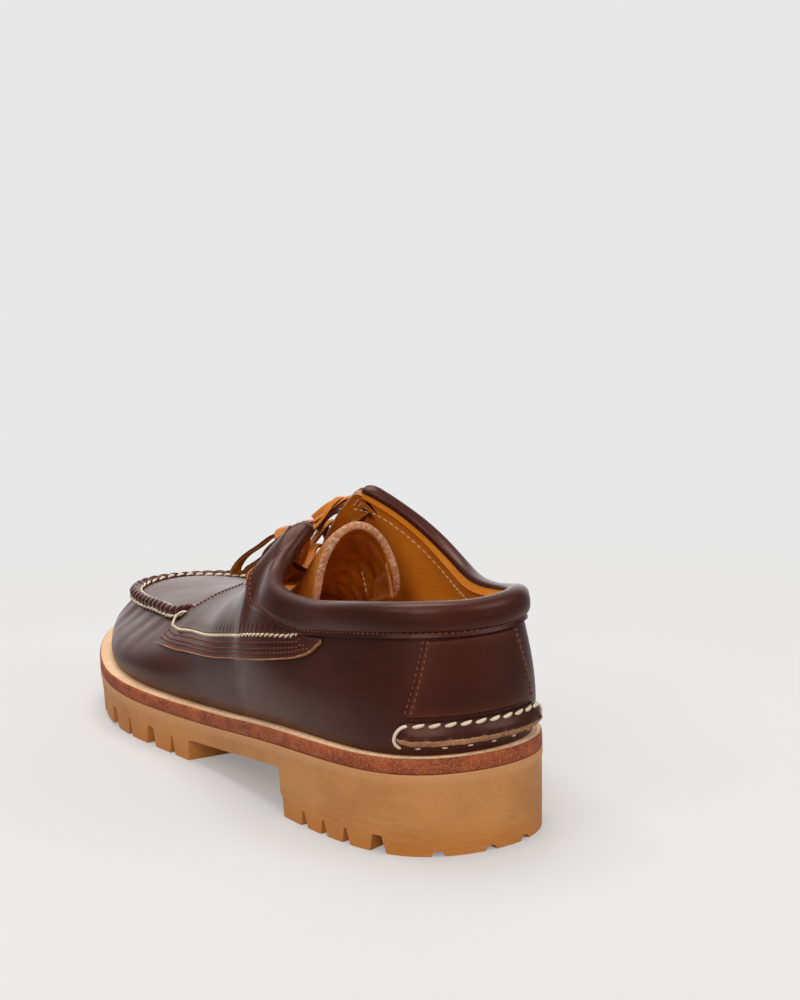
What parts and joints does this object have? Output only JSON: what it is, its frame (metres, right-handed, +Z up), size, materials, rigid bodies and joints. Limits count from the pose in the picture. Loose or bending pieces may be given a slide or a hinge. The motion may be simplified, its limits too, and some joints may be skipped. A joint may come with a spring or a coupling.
{
  "type": "derby shoe",
  "caption": "Low moc-toe derby shoe: hollow oxblood leather upper with padded collar and rawhide lace, leather midsole, lugged gum rubber sole with heel.",
  "frame": {"origin": "middle of the sole's width and length, on the floor", "axes": "+Z up, toe towards -Y, heel towards +Y, outer side of this left shoe towards +X"},
  "size_m": [0.1047, 0.3008, 0.1078],
  "materials": {
    "gum_rubber": "satin amber gum rubber, sanded band at the top edge",
    "midsole_leather": "raw russet edge, natural tan top face",
    "lining_leather": "honey tan, unfinished",
    "tongue_leather": "thick tan leather, raw pinkish edge",
    "oxblood_leather": "waxed pull-up leather, soft sheen",
    "lace_rawhide": "flat rawhide, dark face and tan back",
    "brass": "rolled brass eyelet"
  },
  "bodies": {
    "root": {"collar_roll": "oxblood_leather", "eyelet_lateral_1": "brass", "eyelet_lateral_2": "brass", "eyelet_lateral_3": "brass", "eyelet_medial_1": "brass", "eyelet_medial_2": "brass", "eyelet_medial_3": "brass", "heel_kicker": "oxblood_leather", "heel_panel": "oxblood_leather", "insole": "lining_leather", "lace_crossings": "lace_rawhide", "lace_end_lateral": "lace_rawhide", "lace_end_medial": "lace_rawhide", "lace_knot": "lace_rawhide", "lace_loop_lateral": "lace_rawhide", "lace_loop_medial": "lace_rawhide", "midsole": "midsole_leather", "outsole": "gum_rubber", "quarter_lateral": "oxblood_leather", "quarter_medial": "oxblood_leather", "seam_ridge": "oxblood_leather", "side_strip_lateral": "oxblood_leather", "side_strip_medial": "oxblood_leather", "tongue": "tongue_leather", "upper": "oxblood_leather"}
  },
  "joints": []
}
